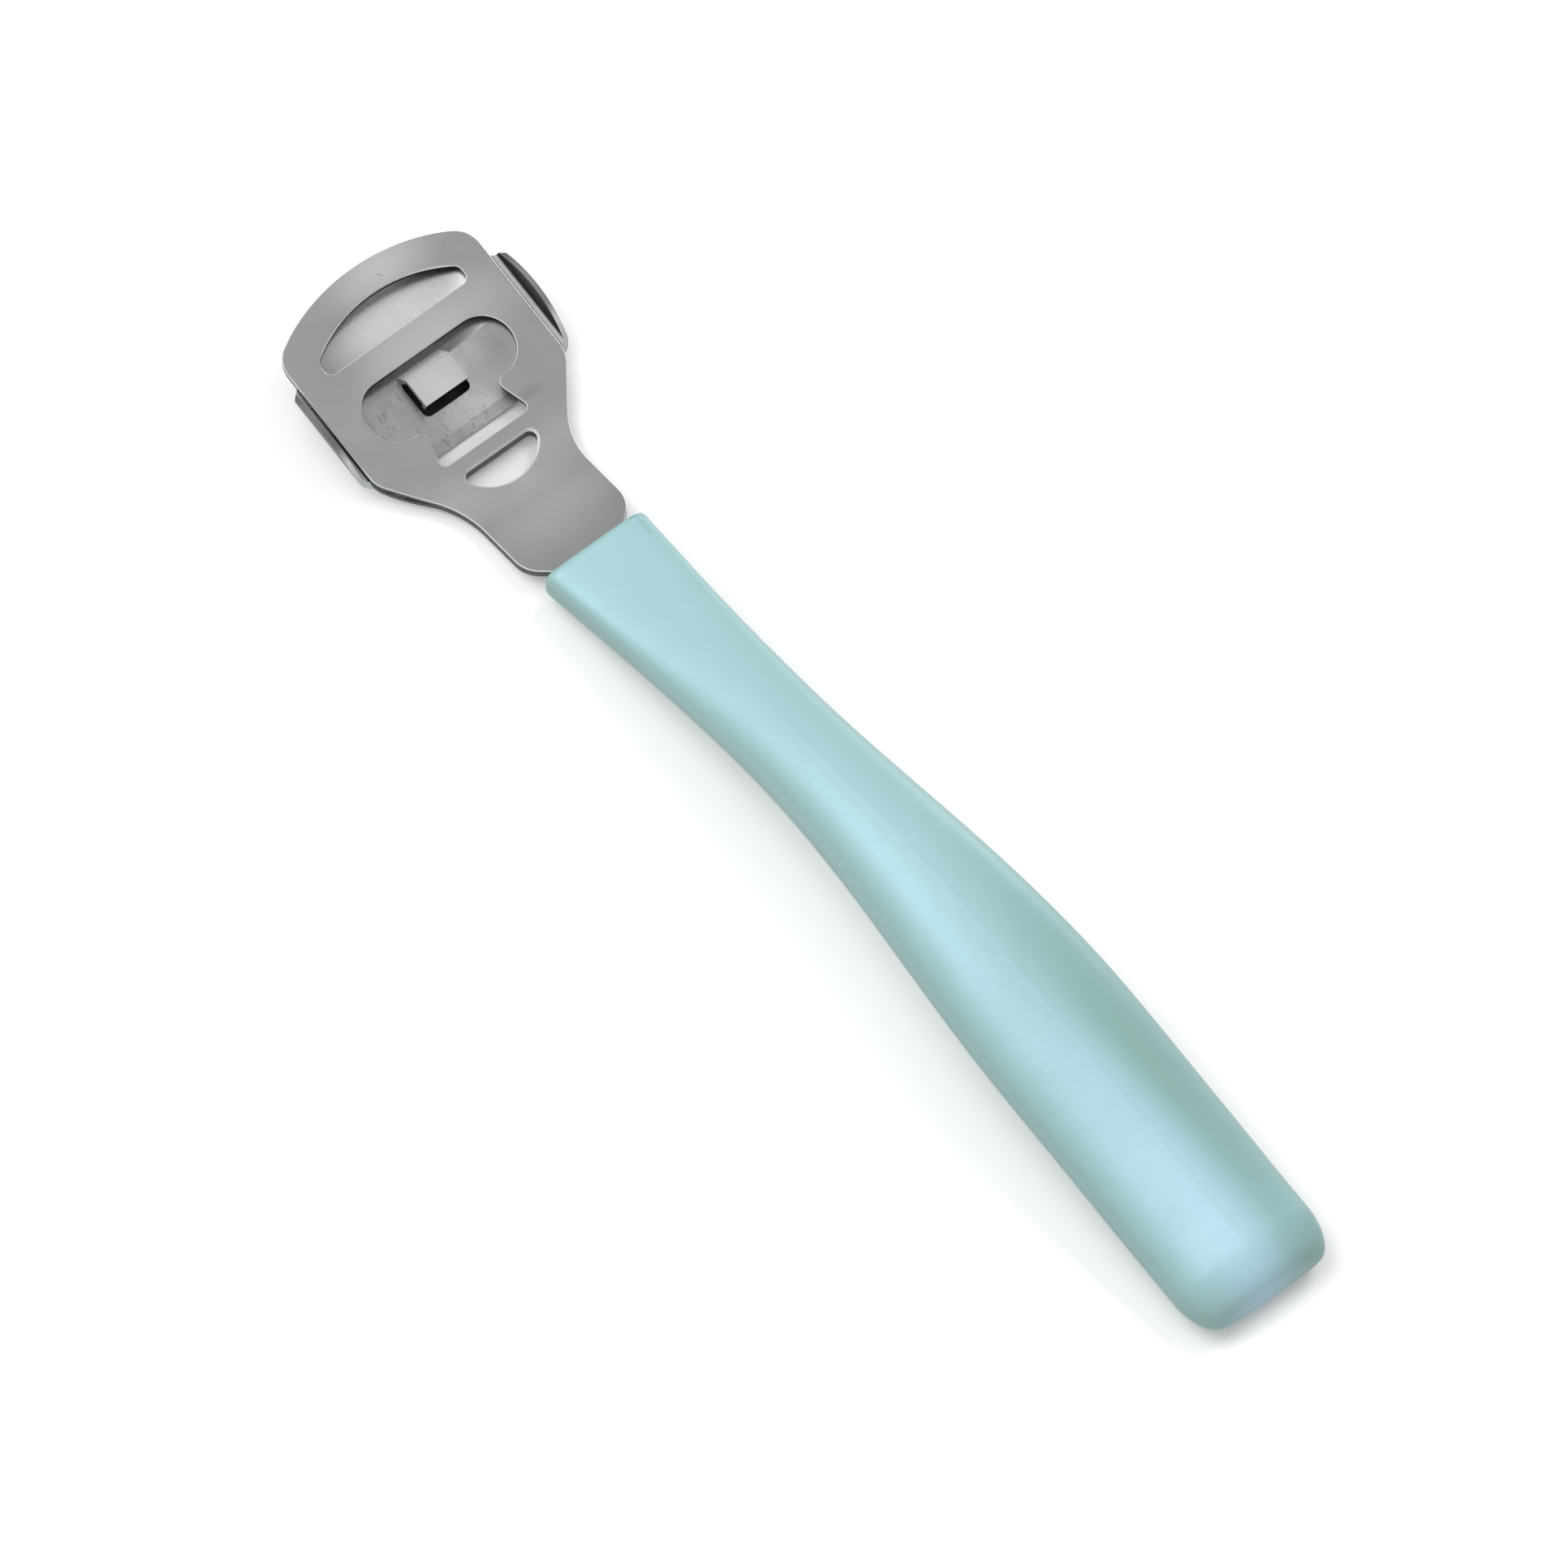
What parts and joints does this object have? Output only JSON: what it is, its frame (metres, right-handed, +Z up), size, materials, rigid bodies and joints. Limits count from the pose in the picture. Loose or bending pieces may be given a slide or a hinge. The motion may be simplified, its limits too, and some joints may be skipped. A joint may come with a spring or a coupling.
{
  "type": "callus shaver",
  "caption": "Hand tool for paring hard skin: shovel-shaped steel head with a clamped blade behind a guard, on a slim arched plastic handle.",
  "frame": {"origin": "centre of the tool's footprint on the surface that it lies on", "axes": "+Y along the tool from the handle's tail to the head's tip, +Z up, away from the skin side"},
  "size_m": [0.0324, 0.174, 0.016],
  "materials": {
    "satin_steel": "satin stainless sheet with faint grain",
    "blade_steel": "ground and lightly scratched blade steel",
    "aqua_plastic": "smooth semi-gloss moulded plastic, pale aqua"
  },
  "bodies": {
    "root": {"guard_plate": "satin_steel", "blade": "blade_steel", "clamp_plate": "satin_steel", "handle": "aqua_plastic"}
  },
  "joints": []
}
